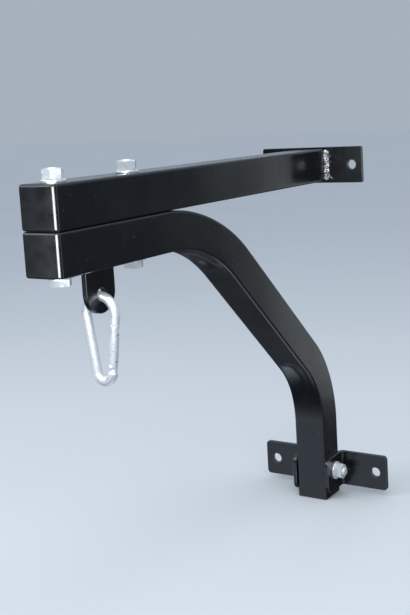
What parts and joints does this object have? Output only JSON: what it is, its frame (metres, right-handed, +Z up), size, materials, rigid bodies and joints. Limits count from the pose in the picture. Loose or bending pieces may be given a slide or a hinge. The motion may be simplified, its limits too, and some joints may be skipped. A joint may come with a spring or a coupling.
{
  "type": "punch bag wall bracket",
  "caption": "Wall bracket that hangs a punch bag: a square-tube beam on a bolted wall plate, a bent strut down to two pivoting wall feet, and a snap hook on a welded eye.",
  "frame": {"origin": "centre of the upper wall plate's back face, on the wall", "axes": "+X to the right along the wall, +Y into the wall, +Z up; the beam reaches out along -Y"},
  "size_m": [0.194, 0.565, 0.5089],
  "materials": {
    "black_powder_coat": "semi-gloss black powder coat",
    "zinc_plate": "bright zinc plate",
    "bare_weld": "bare weld metal",
    "black_plastic": "satin black moulded plastic",
    "spring_steel": "plain spring wire"
  },
  "bodies": {
    "frame": {"upper_beam": "black_powder_coat", "upper_wall_plate": "black_powder_coat", "plate_weld_left": "bare_weld", "plate_weld_right": "bare_weld", "upper_end_cap": "black_plastic", "lower_strut": "black_powder_coat", "lower_end_cap": "black_plastic", "hanging_eye": "black_powder_coat", "eye_weld": "black_powder_coat", "front_bolt": "zinc_plate", "front_head_washer": "zinc_plate", "front_nut_washer": "zinc_plate", "front_nut": "zinc_plate", "rear_bolt": "zinc_plate", "rear_head_washer": "zinc_plate", "rear_nut_washer": "zinc_plate", "rear_nut": "zinc_plate", "pivot_bolt": "zinc_plate", "pivot_nut_washer": "zinc_plate", "pivot_nut": "zinc_plate"},
    "left_foot": {"left_foot": "black_powder_coat"},
    "right_foot": {"right_foot": "black_powder_coat"},
    "hook": {"hook_body": "zinc_plate", "gate_rivet": "zinc_plate"},
    "gate": {"gate": "zinc_plate", "gate_cross_pin": "zinc_plate", "gate_spring": "spring_steel"},
    "plunger": {"gate_plunger": "zinc_plate"}
  },
  "joints": [
    {"name": "left_foot_pivot", "type": "hinge", "parent": "frame", "child": "left_foot", "pos_m": [-0.0253, -0.0265, -0.435], "axis": [1, 0, 0], "range_deg": [-90, 90]},
    {"name": "right_foot_pivot", "type": "hinge", "parent": "frame", "child": "right_foot", "pos_m": [0.0253, -0.0265, -0.435], "axis": [1, 0, 0], "range_deg": [-90, 90]},
    {"name": "hook_swing", "type": "hinge", "parent": "frame", "child": "hook", "pos_m": [-0.0015, -0.4825, -0.0984], "axis": [1, 0, 0], "range_deg": [-75, 75]},
    {"name": "gate_hinge", "type": "hinge", "parent": "hook", "child": "gate", "pos_m": [0.00973, -0.4825, -0.1709], "axis": [0, -1, 0], "range_deg": [0, 25]},
    {"name": "plunger_slide", "type": "slide", "parent": "gate", "child": "plunger", "axis": [0.1365, 0, 0.9906], "range_m": [0, 0.0015], "deforming": ["gate_spring"]}
  ],
  "couplings": [
    {"joint": "plunger_slide", "follows": "gate_hinge", "m_per_rad": 0.0031}
  ]
}
